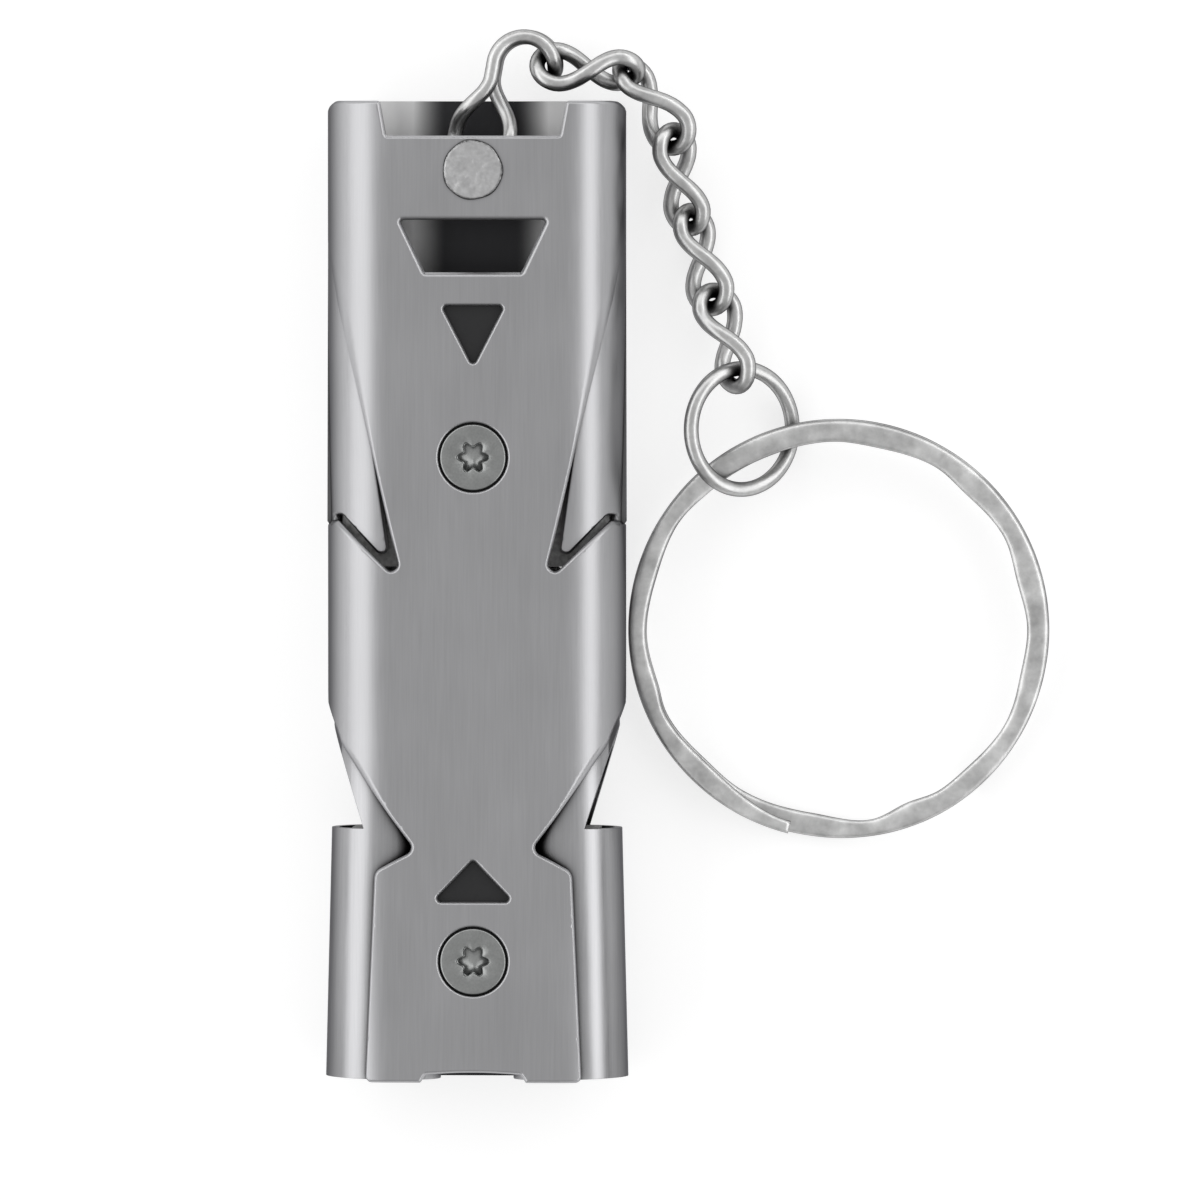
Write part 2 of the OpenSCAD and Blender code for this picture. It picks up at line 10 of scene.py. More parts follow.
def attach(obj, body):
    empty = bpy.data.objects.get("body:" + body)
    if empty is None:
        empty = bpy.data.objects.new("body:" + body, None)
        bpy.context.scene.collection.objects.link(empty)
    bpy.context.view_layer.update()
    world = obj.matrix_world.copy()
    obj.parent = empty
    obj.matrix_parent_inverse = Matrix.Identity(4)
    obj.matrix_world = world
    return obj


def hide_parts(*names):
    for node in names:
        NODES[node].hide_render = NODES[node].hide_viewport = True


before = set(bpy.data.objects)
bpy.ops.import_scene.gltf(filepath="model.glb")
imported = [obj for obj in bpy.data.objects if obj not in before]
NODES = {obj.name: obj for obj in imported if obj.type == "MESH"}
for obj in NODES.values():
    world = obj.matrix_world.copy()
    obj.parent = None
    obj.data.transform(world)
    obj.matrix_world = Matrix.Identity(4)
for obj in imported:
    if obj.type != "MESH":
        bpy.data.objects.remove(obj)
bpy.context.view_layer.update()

MM = 0.001
UP = Vector((0, 0, 1))
AHEAD = np.array([0.0, 1.0, 0.0])
TINY = 1e-9
TOUCHING = 1e-6

# sizes shared with the frame
BODY_THICK = 8.2
MID = BODY_THICK / 2
RIVET_Y = 25.35
RIVET_R = 1.05
RIVET_HEAD_R = 1.8
RIVET_DOME = 0.22
SCREW_Y = {"upper_screw": 8.1, "lower_screw": -22.2}
SCREW_R = 0.97
SCREW_HEAD_R = 1.97
SCREW_TIP_Z = 2.5


def smooth_step(t):
    """Eased ramp from 0 to 1."""
    c = min(1.0, max(0.0, t))
    return c * c * (3 - 2 * c)


def eased(value, span):
    """Eased share of the way through a span, from 0 to 1."""
    return smooth_step((value - span[0]) / (span[1] - span[0]))


# meshes

WIRE_SIDES = 20


def mesh_object(name, points, faces, smooth=True):
    """New mesh object from points in millimetres."""
    mesh = bpy.data.meshes.new(name)
    mesh.from_pydata([Vector(p) * MM for p in points], [], faces)
    mesh.validate()
    for polygon in mesh.polygons:
        polygon.use_smooth = smooth
    made = bpy.data.objects.new(name, mesh)
    bpy.context.scene.collection.objects.link(made)
    return made


def ring_faces(rings, sides, closed):
    """Quads between rows of points, wrapped round each row."""
    faces = []
    for i in range(rings if closed else rings - 1):
        after = (i + 1) % rings
        for k in range(sides):
            beside = (k + 1) % sides
            faces.append((i * sides + k, i * sides + beside, after * sides + beside, after * sides + k))
    return faces


def loop_path(length, widths, widening, steps):
    """Rows of (along, across, outward along, outward across) round a loop with a bow at each end.

    The half width goes from the first to the second of widths over the stretch called widening.
    The two steps are those of a bow and of a strand.
    """
    w0, w1 = widths
    bow_steps, strand_steps = steps
    strand = length - w0 - w1
    rows = []
    for i in range(bow_steps):
        a = math.radians(-90 + 180 * i / bow_steps)
        rows.append((w0 * (1 - math.cos(a)), w0 * math.sin(a), -math.cos(a), math.sin(a)))
    for i in range(strand_steps):
        q = w0 + strand * i / strand_steps
        rows.append((q, w0 + (w1 - w0) * eased(q, widening), 0, 1))
    for i in range(bow_steps):
        a = math.radians(90 - 180 * i / bow_steps)
        rows.append((length - w1 * (1 - math.cos(a)), w1 * math.sin(a), math.cos(a), math.sin(a)))
    for i in range(strand_steps):
        q = length - w1 - strand * i / strand_steps
        rows.append((q, -w0 - (w1 - w0) * eased(q, widening), 0, -1))
    return rows


def wire_object(name, path, radius, sides=WIRE_SIDES):
    """Closed round wire along rows of (point, outward direction)."""
    count = len(path)
    points = []
    for i in range(count):
        at, out = path[i]
        run = (path[(i + 1) % count][0] - path[i - 1][0]).normalized()
        out = (out - run * out.dot(run)).normalized()
        over = run.cross(out)
        for k in range(sides):
            a = 2 * math.pi * (k + 0.5) / sides
            points.append(at + radius * (math.cos(a) * out + math.sin(a) * over))
    return mesh_object(name, points, ring_faces(count, sides, True))


# hook link

HOOK_WIRE = 0.9
HOOK_PLAY = 0.15
HOOK_BEND = 1.8
HOOK_LEAN = math.radians(80.6)
HOOK_END = math.radians(-98.5)
HOOK_SHANK = 8.25
HOOK_LOW_W = RIVET_R + HOOK_WIRE / 2 + HOOK_PLAY
HOOK_HIGH_W = 1.15
HOOK_TURN = (3.5, 7.3)
HOOK_NARROWING = (HOOK_TURN[0], 7.7)
HOOK_SINK = 1.3
HOOK_SINKING = (5, 14)
HOOK_CONTACT = math.radians(39.4)
HOOK_STEPS = (20, 60)
HOOK_LENGTH = HOOK_SHANK + HOOK_BEND * (HOOK_LEAN - HOOK_END)
HOOK_STRAIGHT = Vector((math.cos(HOOK_LEAN), math.sin(HOOK_LEAN), 0))
HOOK_START = Vector((0, RIVET_Y, 0)) - HOOK_LOW_W * HOOK_STRAIGHT


def right_of(heading):
    """Level direction to the right of a heading."""
    return Vector((math.sin(heading), -math.cos(heading), 0))


def hook_heading(q):
    """Heading of the hook link at distance q from its start."""
    return HOOK_LEAN - max(0, q - HOOK_SHANK) / HOOK_BEND


def hook_spine(q):
    """Middle line of the hook link at distance q from its start."""
    if q < HOOK_SHANK:
        at = HOOK_START + q * HOOK_STRAIGHT
    else:
        centre = HOOK_START + HOOK_SHANK * HOOK_STRAIGHT + HOOK_BEND * right_of(HOOK_LEAN)
        at = centre - HOOK_BEND * right_of(hook_heading(q))
    return at + UP * (MID - HOOK_SINK * eased(q, HOOK_SINKING))


def hook_across(q):
    """Direction across the hook link, from flat at the rivet to upright at the bend."""
    a = math.pi * (1 - eased(q, HOOK_TURN) / 2)
    return math.cos(a) * right_of(hook_heading(q)) + math.sin(a) * UP


def hook_path():
    """Course of the hook link's wire, round the rivet and over the bend."""
    path = []
    rows = loop_path(HOOK_LENGTH, (HOOK_LOW_W, HOOK_HIGH_W), HOOK_NARROWING, HOOK_STEPS)
    for along, across, out_along, out_across in rows:
        h = hook_heading(along)
        forward = Vector((math.cos(h), math.sin(h), 0))
        side = hook_across(along)
        path.append((hook_spine(along) + across * side, out_along * forward + out_across * side))
    return path


# twisted links and jump ring, with one heading and slope in degrees for each link and for the jump ring

LINK_WIRE = 0.95
LINK_OUTER_L, LINK_OUTER_W = 7.05, 3.55
LINK_L = LINK_OUTER_L - LINK_WIRE
LINK_W = (LINK_OUTER_W - LINK_WIRE) / 2
WIRE_GAP = 0.14
LINK_HEADING = [-3.1, -54, -78.5, -74.9, -72.2, -83.4]
LINK_SLOPE = [-8.5, 5, -7.9, 4.2, 10.2, -4.4]
LINK_ROLL = [7.1, -16.8, -4.2, -9.8, 3]
LINK_COUNT = len(LINK_ROLL)
LINK_FIRST_LEAN, LINK_TWIST = 135, 90
TWIST_STRETCH = (0.18, 0.82)
LINK_STEPS = (18, 30)
JUMP_WIRE = 0.9
JUMP_R = 3.65
JUMP_TILT = math.radians(36)
JUMP_STEPS, JUMP_SIDES = 96, 24


def aim(k):
    """Direction along link k, or along the jump ring after the last link."""
    h, s = math.radians(LINK_HEADING[k]), math.radians(LINK_SLOPE[k])
    return Vector((math.cos(h) * math.cos(s), math.sin(h) * math.cos(s), math.sin(s)))


def link_across(k, t):
    """Direction across link k at share t of its length; the link is twisted by a quarter turn."""
    h = math.radians(LINK_HEADING[k])
    lateral = Vector((-math.sin(h), math.cos(h), 0))
    a = math.radians(LINK_FIRST_LEAN + LINK_ROLL[k] - LINK_TWIST * eased(t, TWIST_STRETCH))
    return math.cos(a) * lateral + math.sin(a) * aim(k).cross(lateral)


def link_starts():
    """Start of every twisted link and of the jump ring, each hung on the wire before it."""
    contact = HOOK_LENGTH - HOOK_HIGH_W * (1 - math.cos(HOOK_CONTACT))
    pivot = hook_spine(contact) + HOOK_HIGH_W * math.sin(HOOK_CONTACT) * hook_across(contact)
    held = HOOK_WIRE
    starts = []
    for k in range(LINK_COUNT + 1):
        own = JUMP_WIRE if k == LINK_COUNT else LINK_WIRE
        starts.append(pivot - aim(k) * ((own + held) / 2 + WIRE_GAP))
        if k < LINK_COUNT:
            after, across = aim(k + 1), link_across(k, 1)
            in_bow = after.dot(aim(k)) * aim(k) + after.dot(across) * across
            pivot = starts[k] + (LINK_L - LINK_W) * aim(k) + LINK_W * in_bow.normalized()
        held = LINK_WIRE
    return starts


def link_path(k, start):
    """Course of the wire of link k."""
    path = []
    for along, across, out_along, out_across in loop_path(LINK_L, (LINK_W, LINK_W), (0, LINK_L), LINK_STEPS):
        side = link_across(k, along / LINK_L)
        path.append((start + along * aim(k) + across * side, out_along * aim(k) + out_across * side))
    return path


def jump_path(start):
    """Circle of the jump ring, tilted about Y."""
    centre = start + JUMP_R * aim(LINK_COUNT)
    tilt = Matrix.Rotation(JUMP_TILT, 3, "Y")
    path = []
    for i in range(JUMP_STEPS):
        a = 2 * math.pi * i / JUMP_STEPS
        out = tilt @ Vector((math.cos(a), math.sin(a), 0))
        path.append((centre + JUMP_R * out, out))
    return path


# split ring, with its angles in degrees round the two turns

RING_CENTRE = Vector((21.72, -2.384, 1.608))
RING_R = 12.7
RING_TILT = math.radians(2.925)
RING_SPIN = -70
RING_FROM, RING_TO, RING_STEP = 20, 686, 1.5
RING_RISE = (330, 378)
RING_H, RING_PITCH = 0.72, 1.16
RING_TAPER, RING_TAPER_W = 24, 0.55
RING_SECTION = 24
RING_SQUARENESS = (0.6, 0.7)

# waves of the hammered wire: lean in degrees, waves in a turn and phase in radians
RING_WAVES = [(6, 7, 0.6), (4, 12, 2.2), (2, 19, 0.0)]

# width of the flat wire at angles round the ring, as it looks in the photograph
RING_DENTS = [(0, 1.3), (15, 1.52), (30, 1.22), (47, 1.42), (59, 1.22), (78, 1.42), (92, 1.3), (112, 1.38),
              (130, 1.32), (147, 1.1), (163, 1.24), (182, 1.06), (197, 1.24), (206, 1.06), (226, 1.36),
              (238, 1.26), (261, 1.4), (279, 1.0), (292, 1.45), (302, 1.26), (312, 1.34), (331, 1.16),
              (348, 1.4), (360, 1.3)]


def ring_width(a):
    """Width of the flat wire at angle a, dented as the list says and tapered to both ends."""
    seen = (a + RING_SPIN) % 360
    for (a0, w0), (a1, w1) in zip(RING_DENTS, RING_DENTS[1:]):
        if a0 <= seen <= a1:
            width = w0 + (w1 - w0) * eased(seen, (a0, a1))
    end = smooth_step(min(a - RING_FROM, RING_TO - a) / RING_TAPER)
    return width * (RING_TAPER_W + (1 - RING_TAPER_W) * end)


def ring_lean(a):
    """Lean of the flat wire at angle a, hammered a little this way and that."""
    r = math.radians(a)
    return math.radians(sum(lean * math.cos(waves * r + phase) for lean, waves, phase in RING_WAVES))


def squared(value, power):
    """Sine or cosine pushed outwards, which squares off a round section."""
    return math.copysign(abs(value) ** power, value)


def split_ring_object():
    """Flat wire in nearly two turns, with a rounded rectangular section."""
    place = Matrix.Translation(RING_CENTRE) @ Matrix.Rotation(RING_TILT, 4, "X")
    place = place @ Matrix.Rotation(math.radians(RING_SPIN), 4, "Z")
    points = []
    count = int((RING_TO - RING_FROM) / RING_STEP) + 1
    for i in range(count):
        a = RING_FROM + i * RING_STEP
        r, w, lean = math.radians(a), ring_width(a), ring_lean(a)
        level = RING_PITCH * (eased(a, RING_RISE) - 0.5)
        for k in range(RING_SECTION):
            s = 2 * math.pi * (k + 0.5) / RING_SECTION
            u = squared(math.cos(s), RING_SQUARENESS[0]) * w / 2
            v = squared(math.sin(s), RING_SQUARENESS[1]) * RING_H / 2
            radial = RING_R - w / 2 + u * math.cos(lean) - v * math.sin(lean)
            height = level + u * math.sin(lean) + v * math.cos(lean)
            points.append(place @ Vector((radial * math.cos(r), radial * math.sin(r), height)))
    faces = [tuple(reversed(f)) for f in ring_faces(count, RING_SECTION, False)]
    faces.append(tuple(range(RING_SECTION)))
    faces.append(tuple(reversed(range((count - 1) * RING_SECTION, count * RING_SECTION))))
    return mesh_object("split_ring_wire", points, faces)


# stamped halves: outlines are right-hand corners of (x, y, radius), seen from the front

SHEET_T = 0.35
RIM_SHEET_T = 0.12
HALF_W = 9.0
SIDE_X = HALF_W - MID
SEAM = SIDE_X + MID * math.pi / 2
EDGE_X = HALF_W + 0.05
TOP_Y, BOTTOM_Y = 29.5, -29.5
VEE_TIP = (4.24, 0.5)
VEE_EDGE_Y, VEE_STEP_X, VEE_TOP_Y = 4.25, 8.4, 20.2
NOTCH = (3.5, -15.5)
CREASE_END = (8.25, -9.2)
LIP_END_Y = -6.68
MOUTH = [(0, BOTTOM_Y + 0.67, 30), (2.85, BOTTOM_Y + 0.5, 0.15), (3.18, BOTTOM_Y, 0.1)]
TONGUE = [(6.6, BOTTOM_Y, 0.4), (6, -16.8, 0.7), (*NOTCH, 0.45)]
SIDE = [(*CREASE_END, 0.3), (EDGE_X, LIP_END_Y, 0), (EDGE_X, VEE_EDGE_Y, 0)]
VEE = [(VEE_STEP_X, VEE_EDGE_Y, 0.2), (*VEE_TIP, 0.4), (EDGE_X, VEE_TOP_Y, 0)]
TOP_CORNER = [(EDGE_X, TOP_Y, 0.7)]
TOP_CUT = [(5.66, TOP_Y, 0.25), (5.25, TOP_Y - 2.1, 0.15)]
FLAP_HINGE_Y = VEE_TOP_Y + 2
FLAP_TILT = math.tan(math.radians(2.2))
FLAP = [(4.98, 1.42, 0.45), (8.05, 4.58, 0.2), (8.5, 4.58, 0), (8.5, 3.9, 0), (EDGE_X, 3.9, 0),
        (EDGE_X, VEE_TOP_Y + 1.46, 0), (6.09, 9.5, 0)]
TRAPEZOID = [(2.9, 19.2, 0.15), (4.4, 22.35, 0.15)]
UPPER_TRIANGLE = [(1.875, 17.2, 0.2), (0, 13.55, 0.2)]
LOWER_TRIANGLE = [(2.4, -18.6, 0.2), (0, -16.1, 0.2)]
SCREW_HOLE_R, SPIGOT_R, RIVET_PLAY = 2.06, 1.03, 0.03

# rolled rims: width and depth, and what a soft bend adds to them along the slanted edges
RIM = (0.22, 0.2)
HOLE_RIM = (0.2, 0.16)
WINDOW_RIM = (0.32, 0.26)
VEE_SOFT, VEE_SOFTENING = (0.8, -0.1), (0.3, 0.9)
CREASE_SOFT, CREASE_SOFTENING = (0.4, 0.1), (0.25, 0.85)
CREASE_REACH = 1.01
NEAR = 0.1

# mesh of the sheets: spacing of points, and how far rim rows and grid keep from the rims
SAMPLE = 0.3
CORNER_STEPS, CIRCLE_STEPS = 8, 72
RIM_ROWS = (0.1, 0.3, 0.6, 1.0)
ROW_CLEARANCE = 0.85
GRID_HALF, GRID_COLUMN, GRID_ROW, GRID_START = 4.2, 1.2, 0.75, 0.4
GRID_BEND_DEG = 4.5
GRID_CLEARANCE = (1.15, 0.35)
SHEET_WELD = 1e-5


def mirrored(corners):
    """The left-hand copies of right-hand corners, in reverse order."""
    return [(-x, y, r) for x, y, r in reversed(corners) if x]


def outline(corners):
    """Corners of (x, y, radius) as points, the corners rounded."""
    points = []
    for i, (x, y, radius) in enumerate(corners):
        at = Vector((x, y, 0))
        before = (Vector((*corners[i - 1][:2], 0)) - at).normalized()
        after = (Vector((*corners[(i + 1) % len(corners)][:2], 0)) - at).normalized()
        if not radius:
            points.append(at)
            continue
        half = before.angle(after) / 2
        centre = at + (before + after).normalized() * radius / math.sin(half)
        start = at + before * radius / math.tan(half) - centre
        stop = at + after * radius / math.tan(half) - centre
        points += [centre + radius * start.slerp(stop, k / CORNER_STEPS) for k in range(CORNER_STEPS + 1)]
    return points


def circle(y, radius):
    """Points of a circle on the middle line."""
    turns = [2 * math.pi * k / CIRCLE_STEPS for k in range(CIRCLE_STEPS)]
    return [Vector((radius * math.cos(a), y + radius * math.sin(a), 0)) for a in turns]


def unrolled(points):
    """Outline on the flat sheet before it is bent: distance from the middle line, and height."""
    flat = []
    for at, after in zip(points, points[1:] + points[:1]):
        count = max(1, math.ceil((after - at).length / SAMPLE))
        for k in range(count):
            x, y, _ = at.lerp(after, k / count)
            bend = math.asin(min(1.0, max(0.0, (abs(x) - SIDE_X) / MID)))
            flat.append((math.copysign(min(abs(x), SIDE_X) + MID * bend, x), y))
    return np.array(flat)


def on_sleeve(flat):
    """Points, outward normals and directions across, on the bent sheet's outer face."""
    s, y = flat.T
    side, zero = np.sign(s), np.zeros_like(s)
    a = np.clip((np.abs(s) - SIDE_X) / MID, 0, None)
    normal = np.stack([side * np.sin(a), zero, np.cos(a)], 1)
    across = np.stack([np.cos(a), zero, -side * np.sin(a)], 1)
    middle = np.stack([side * np.minimum(np.abs(s), SIDE_X), y, zero + MID], 1)
    return middle + MID * normal, normal, across


def edge_share(x, y, start, end):
    """Share of the way along a slanted edge at either side, or -1 away from that edge."""
    share = (y - start[1]) / (end[1] - start[1])
    edge_x = start[0] + share * (end[0] - start[0])
    return share if abs(abs(x) - edge_x) < NEAR else -1


def softened(added, soft):
    """Width and depth of a rim that is partly a soft bend."""
    return RIM[0] + added[0] * soft, RIM[1] + added[1] * soft


def rim_of(x, y):
    """Width and depth of the rolled rim at a place on the outline; creases fade into soft bends."""
    share = edge_share(x, y, VEE_TIP, (EDGE_X, VEE_TOP_Y))
    if 0 < share < 1:
        return softened(VEE_SOFT, eased(share, VEE_SOFTENING))
    share = edge_share(x, y, NOTCH, CREASE_END)
    if 0 < share < CREASE_REACH:
        return softened(CREASE_SOFT, eased(share, CREASE_SOFTENING))
    if CREASE_END[1] < y < LIP_END_Y and abs(x) > CREASE_END[0] - NEAR:
        return softened(CREASE_SOFT, 1 - eased(y, (CREASE_END[1], LIP_END_Y)))
    if any(math.hypot(x, y - screw_y) < SCREW_HOLE_R + NEAR for screw_y in SCREW_Y.values()):
        return HOLE_RIM
    if TRAPEZOID[0][1] - NEAR < y < TRAPEZOID[1][1] + NEAR and abs(x) < TRAPEZOID[1][0] + NEAR:
        return WINDOW_RIM
    return RIM


class Sheet:
    """Bent sheet with rolled rims: a flat outline with holes, laid out, meshed and bent."""

    def __init__(self, loops, tilt):
        self.tilt = tilt
        flats = [unrolled(points) for points in loops]
        self.at = np.concatenate(flats)
        self.after = np.concatenate([np.roll(flat, -1, 0) for flat in flats])
        self.before = np.concatenate([np.roll(flat, 1, 0) for flat in flats])
        places = on_sleeve(self.at)[0]
        self.rims = np.array([rim_of(x, y) for x, y, _ in places])
        firsts = np.cumsum([0] + [len(flat) for flat in flats])
        self.next = np.concatenate([np.roll(np.arange(a, b), -1) for a, b in zip(firsts, firsts[1:])])
        run = self.after - self.at
        self.length = np.maximum(np.hypot(*run.T), TINY)
        self.run = run / self.length[:, None]
        self.out = np.stack([self.run[:, 1], -self.run[:, 0]], 1)
        on_seam = np.abs(self.at[:, 0]) > SEAM - TOUCHING
        self.free = ~(on_seam & on_seam[self.next])

    def inside(self, flat):
        """True for the places that lie on the sheet."""
        s, y = flat[:, :1], flat[:, 1:]
        (s0, y0), (s1, y1) = self.at.T, self.after.T
        spans = (y0 > y) != (y1 > y)
        rise = np.where(y1 == y0, 1, y1 - y0)
        return (spans & (s < (s1 - s0) * (y - y0) / rise + s0)).sum(1) % 2 == 1

    def nearest(self, flat):
        """Distance and direction to the nearest free edge, with its rim's width and depth."""
        at, run, length = self.at[self.free], self.run[self.free], self.length[self.free]
        along = np.clip(((flat[:, None] - at) * run).sum(2), 0, length)
        gap = at + along[..., None] * run - flat[:, None]
        distance = np.hypot(gap[..., 0], gap[..., 1])
        best = distance.argmin(1)
        rows = np.arange(len(flat))
        d = distance[rows, best]
        share = (along[rows, best] / length[best])[:, None]
        rims = self.rims[self.free][best] * (1 - share) + self.rims[self.next[self.free]][best] * share
        straight = gap[rows, best] / np.maximum(d, TOUCHING)[:, None]
        toward = np.where(d[:, None] > TOUCHING, straight, self.out[self.free][best])
        return d, toward, rims[:, 0], rims[:, 1]

    def out_before(self):
        """Outward direction of the edge before each point."""
        run = self.at - self.before
        run /= np.maximum(np.hypot(*run.T), TINY)[:, None]
        return np.stack([run[:, 1], -run[:, 0]], 1)

    def layout(self):
        """The outline's points, rows of points along the rims, and a grid over the rest."""
        bisector = self.out + self.out_before()
        bisector /= np.maximum(np.hypot(*bisector.T), TINY)[:, None]
        parts = [self.at]
        for row in RIM_ROWS:
            offset = row * self.rims[:, 0]
            points = self.at - bisector * offset[:, None]
            d = self.nearest(points)[0]
            parts.append(points[self.free & self.inside(points) & (d > ROW_CLEARANCE * offset)])
        panel = np.arange(-GRID_HALF, GRID_HALF + TINY, GRID_COLUMN)
        bends = np.radians(np.arange(0, 90, GRID_BEND_DEG))
        columns = np.concatenate([panel, SIDE_X + MID * bends, -SIDE_X - MID * bends])
        heights = np.arange(BOTTOM_Y + GRID_START, TOP_Y, GRID_ROW)
        grid = np.array([(s, y) for s in columns for y in heights])
        grid = grid[self.inside(grid)]
        d, _, width, _ = self.nearest(grid)
        parts.append(grid[d > np.minimum(GRID_CLEARANCE[0] * width, GRID_CLEARANCE[1])])
        return np.concatenate(parts)

    def bent(self, flat, depth):
        """The laid out places on the bent sheet, sunk by a depth, and tilted if the sheet is a flap."""
        points, normal, across = on_sleeve(flat)
        points = points - normal * depth[:, None]
        points[:, 2] -= self.tilt * (FLAP_HINGE_Y - flat[:, 1])
        return points, normal, across

    def mesh(self):
        """Points, normals and faces of the outer face, the inner face and the cut edges."""
        edges = np.stack([np.arange(len(self.at)), self.next], 1).tolist()
        coords = [Vector(p) for p in self.layout().tolist()]
        flat, _, triangles, *_ = delaunay_2d_cdt(coords, edges, [], 0, SHEET_WELD)
        flat = np.array([tuple(p) for p in flat])
        triangles = np.array(triangles)
        triangles = triangles[self.inside(flat[triangles].mean(1))]
        d, toward, width, depth = self.nearest(flat)
        share = np.clip(1 - d / width, 0, 1)
        drop = depth * share ** 2
        outer, normal, across = self.bent(flat, drop)
        slope = (2 * depth / width * share)[:, None]
        rolled = normal + slope * (toward[:, :1] * across + toward[:, 1:] * AHEAD) - self.tilt * AHEAD
        inner = self.bent(flat, np.maximum(SHEET_T, drop + RIM_SHEET_T))[0]
        rim_depth = np.where(self.free | np.roll(self.free, 1), self.rims[:, 1], 0)
        high, _, rim_across = self.bent(self.at, rim_depth)
        low = self.bent(self.at, np.maximum(SHEET_T, rim_depth + RIM_SHEET_T))[0]
        away = self.out + self.out_before()
        wall = away[:, :1] * rim_across + away[:, 1:] * AHEAD
        faces = triangles.tolist() + (triangles[:, ::-1] + len(flat)).tolist()
        first, count = 2 * len(flat), len(self.at)
        for i, after in enumerate(self.next.tolist()):
            faces.append((first + i, first + count + i, first + count + after, first + after))
        return np.concatenate([outer, inner, high, low]), np.concatenate([rolled, -normal, wall, wall]), faces


def stamped_half(name, holes, front):
    """One half of the sleeve with its two pressed flaps."""
    right = TONGUE + SIDE + VEE + TOP_CORNER
    if front:
        right = MOUTH + right + TOP_CUT
    body = Sheet([outline(right + mirrored(right))] + holes, 0.0)
    sheets = [body, Sheet([outline(FLAP)], FLAP_TILT), Sheet([outline(mirrored(FLAP))], FLAP_TILT)]
    points, normals, faces = np.zeros((0, 3)), np.zeros((0, 3)), []
    for sheet in sheets:
        more, more_normals, more_faces = sheet.mesh()
        faces += [tuple(len(points) + i for i in face) for face in more_faces]
        points = np.concatenate([points, more])
        normals = np.concatenate([normals, more_normals])
    if not front:
        points[:, 2] = BODY_THICK - points[:, 2]
        normals[:, 2] = -normals[:, 2]
        faces = [face[::-1] for face in faces]
    made = mesh_object(name, points.tolist(), faces)
    normals /= np.maximum(np.linalg.norm(normals, axis=1), TINY)[:, None]
    made.data.normals_split_custom_set_from_vertices(normals.tolist())
    return made


def clockwise(points):
    """The points of a hole, wound the other way round than the outline."""
    area = sum(a.x * b.y - b.x * a.y for a, b in zip(points, points[1:] + points[:1]))
    return points[::-1] if area > 0 else points


def front_holes():
    """Windows and screw holes of the front half."""
    windows = [TRAPEZOID, UPPER_TRIANGLE, LOWER_TRIANGLE]
    holes = [outline(right + mirrored(right)) for right in windows]
    holes += [circle(y, SCREW_HOLE_R) for y in SCREW_Y.values()]
    return [clockwise(points) for points in holes]


def rear_holes():
    """Holes of the rear half for the staked posts and the rivet."""
    holes = [circle(y, SPIGOT_R) for y in SCREW_Y.values()] + [circle(RIVET_Y, RIVET_R + RIVET_PLAY)]
    return [clockwise(points) for points in holes]


# turned pieces

SCREW_SIDES, RIVET_SIDES = 144, 96
SCREW_SUNK = 0.01
SCREW_TIP_R, SCREW_TIP_H = 0.7 * SCREW_R, 0.3
SCREW_CONE_H, SCREW_RIM_H = 1.08, 0.1

# rows of (inset, drop) over the screw's rounded edge
SCREW_EDGE = [(0, 0.07), (0.03, 0.02), (0.1, 0)]

# six-lobe recess: mean and wave of its radius, and a peaked floor that falls away from its peak
LOBES, LOBE_MEAN, LOBE_WAVE = 6, 0.84, 0.16
RECESS_LAND_R, RECESS_TOP, RECESS_WALL = 1.5, 1.05, 0.03
RECESS_RINGS = (0.96, 0.9, 0.8, 0.68, 0.56, 0.44, 0.32, 0.2, 0.1, 0.02)
RECESS_PEAK, RECESS_PEAK_DEPTH = (0.1, -0.28), 0.12
RECESS_FALL, RECESS_FALL_WAVE = 0.46, 0.19
RECESS_STEEPEST = math.radians(-65)

# hammered rivet: waves of its round as (share of the radius, count, phase),
# dents as (cells to the millimetre, seed, share), rows over its edge as (inset, rise, dent depth)
RIVET_WAVES = [(0.012, 3, 1), (0.01, 7, 0)]
RIVET_DENTS = [(2.3, 4.0, 1.0), (5, 9.0, 0.5)]
RIVET_EDGE = [(0, 0.05, 0.01), (0.03, 0.12, 0.02)]
RIVET_SUNK, RIVET_NECK = 0.02, 0.08
RIVET_RINGS, RIVET_TOP_INSET, RIVET_TIP_R = 14, 0.1, 0.02
RIVET_RISE, RIVET_CROWN, RIVET_DENT = 0.8, 0.12, 0.035


def turned_object(name, centre, rows, sides):
    """Solid of stacked rings; a row is (radius function of the angle, height function of x and y)."""
    points = []
    for radius, height in rows:
        for k in range(sides):
            a = 2 * math.pi * k / sides
            x, y = radius(a) * math.cos(a), radius(a) * math.sin(a)
            points.append(Vector((centre[0] + x, centre[1] + y, height(x, y))))
    faces = ring_faces(len(rows), sides, False)
    faces.append(tuple(reversed(range(sides))))
    faces.append(tuple(range((len(rows) - 1) * sides, len(rows) * sides)))
    return mesh_object(name, points, faces)


def constant(value):
    """Radius or height that is the same all round."""
    return lambda *place: value


def star(scale):
    """Radius of the six-lobe recess."""
    return lambda a: scale * (LOBE_MEAN + LOBE_WAVE * math.cos(LOBES * a))


